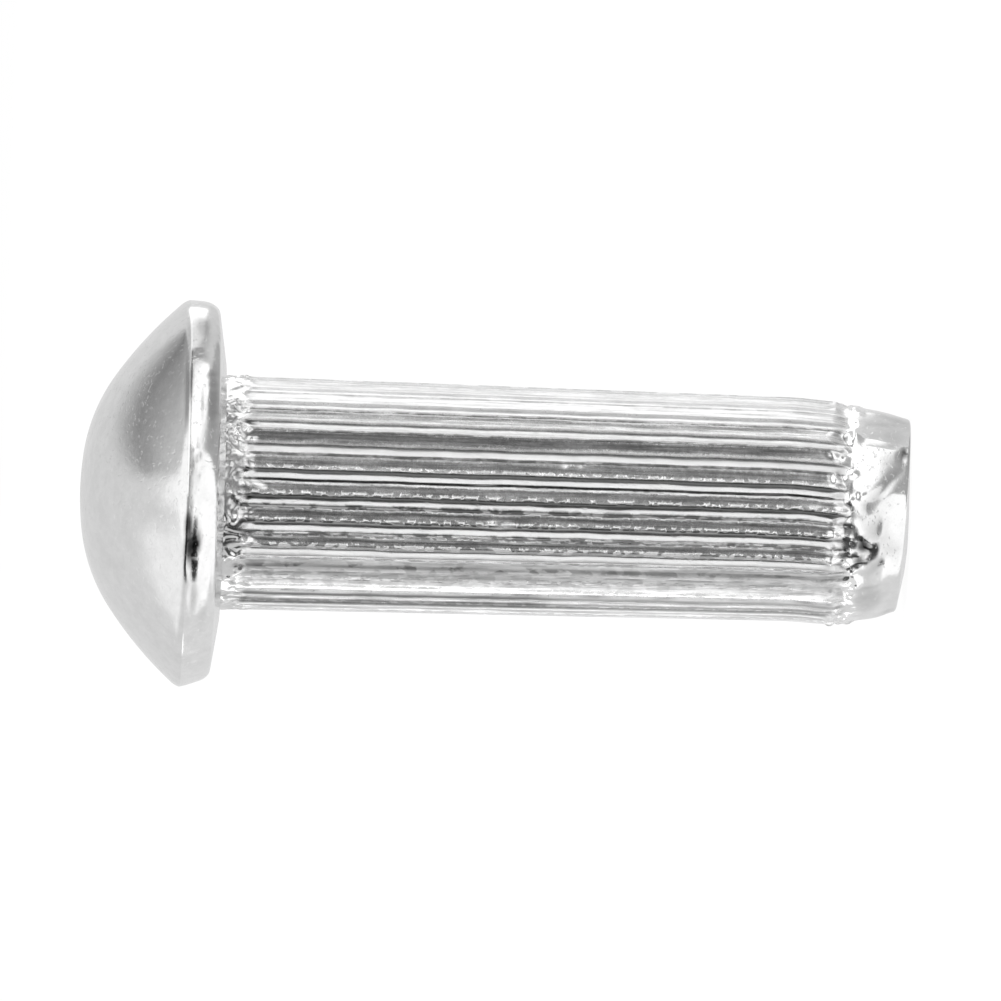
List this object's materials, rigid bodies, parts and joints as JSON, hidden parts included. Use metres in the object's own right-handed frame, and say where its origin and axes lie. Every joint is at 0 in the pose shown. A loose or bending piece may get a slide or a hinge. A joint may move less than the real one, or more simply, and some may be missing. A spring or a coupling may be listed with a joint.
{
  "type": "knurled shank rivet",
  "caption": "Solid drive rivet with a low domed head, a tapered straight-knurled shank and a plain rounded pilot at its tail.",
  "frame": {"origin": "centre of the flat ring under the head, where the head bears on the work", "axes": "+Z along the rivet's axis, from the tail to the head; X and Y are alike"},
  "size_m": [0.009, 0.009, 0.0192],
  "materials": {
    "plated_steel": "bright plate over cold-headed steel, satin on the dome, with rolled marks along the knurl"
  },
  "bodies": {
    "root": {"rivet": "plated_steel"}
  },
  "joints": []
}
